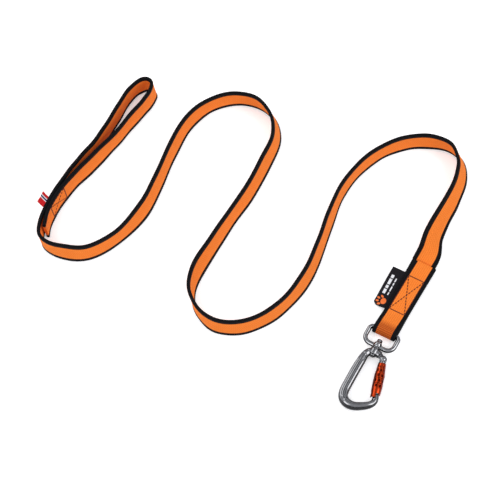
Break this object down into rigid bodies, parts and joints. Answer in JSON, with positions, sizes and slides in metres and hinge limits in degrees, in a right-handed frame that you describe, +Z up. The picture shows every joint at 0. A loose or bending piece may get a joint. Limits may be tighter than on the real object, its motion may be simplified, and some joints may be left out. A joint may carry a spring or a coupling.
{
  "type": "dog lead",
  "caption": "Flat webbing dog lead with a sewn hand loop at one end and a swivel carabiner with a twist-lock gate at the other, laid out in loose curves.",
  "frame": {"origin": "on the surface the lead lies on, under the middle of the stitched strap end", "axes": "+Z up; +Y up the strap, away from the carabiner; +X towards the gate side of the carabiner"},
  "size_m": [0.4068, 0.3201, 0.033],
  "materials": {
    "webbing": "coarse woven tape with black edges",
    "thread": "waxed thread",
    "label": "fine woven satin",
    "tab": "fine woven tape",
    "polished_steel": "polished",
    "polished_alloy": "polished forging",
    "spring_steel": "drawn wire",
    "anodised_sleeve": "anodised, knurled"
  },
  "bodies": {
    "webbing": {"lead_webbing": "webbing", "handle_loop": "webbing", "swivel_fold": "webbing", "clip_stitching": "thread", "handle_stitching": "thread", "side_label": "label", "edge_tab": "tab"},
    "ring": {"swivel_ring": "polished_steel"},
    "clip": {"swivel_post": "polished_steel", "swivel_washer": "polished_steel", "carabiner_body": "polished_alloy", "gate_hinge_pin": "polished_steel"},
    "gate": {"gate_arm": "polished_alloy", "gate_spring": "spring_steel", "sleeve_end_ring": "polished_steel", "sleeve_guide_pin": "spring_steel", "sleeve_spring": "spring_steel"},
    "push_rod": {"gate_push_rod": "spring_steel"},
    "sleeve": {"lock_sleeve": "anodised_sleeve"}
  },
  "joints": [
    {"name": "ring_swing", "type": "hinge", "parent": "webbing", "child": "ring", "pos_m": [0, -0.04665, 0.0057], "axis": [-1, 0, 0], "range_deg": [-120, 120]},
    {"name": "swivel_spin", "type": "hinge", "parent": "ring", "child": "clip", "pos_m": [0, -0.0675, 0.0057], "axis": [0, -1, 0], "continuous": true},
    {"name": "gate_open", "type": "hinge", "parent": "clip", "child": "gate", "pos_m": [0.012, -0.076, 0.0057], "axis": [0, 0, -1], "range_deg": [0, 24], "stiffness_Nm_per_rad": 0.3, "springref_deg": -20.05},
    {"name": "push_rod_slide", "type": "slide", "parent": "gate", "child": "push_rod", "axis": [0.2588, -0.9659, 0], "range_m": [0, 0.0008], "deforming": ["gate_spring"]},
    {"name": "sleeve_twist", "type": "hinge", "parent": "gate", "child": "sleeve", "pos_m": [0.012, -0.076, 0.0057], "axis": [0.2588, -0.9659, 0], "range_deg": [0, 90], "stiffness_Nm_per_rad": 0.02, "springref_deg": -28.65, "deforming": ["sleeve_spring"]}
  ],
  "couplings": [
    {"joint": "push_rod_slide", "follows": "gate_open", "m_per_rad": 0.0018}
  ]
}
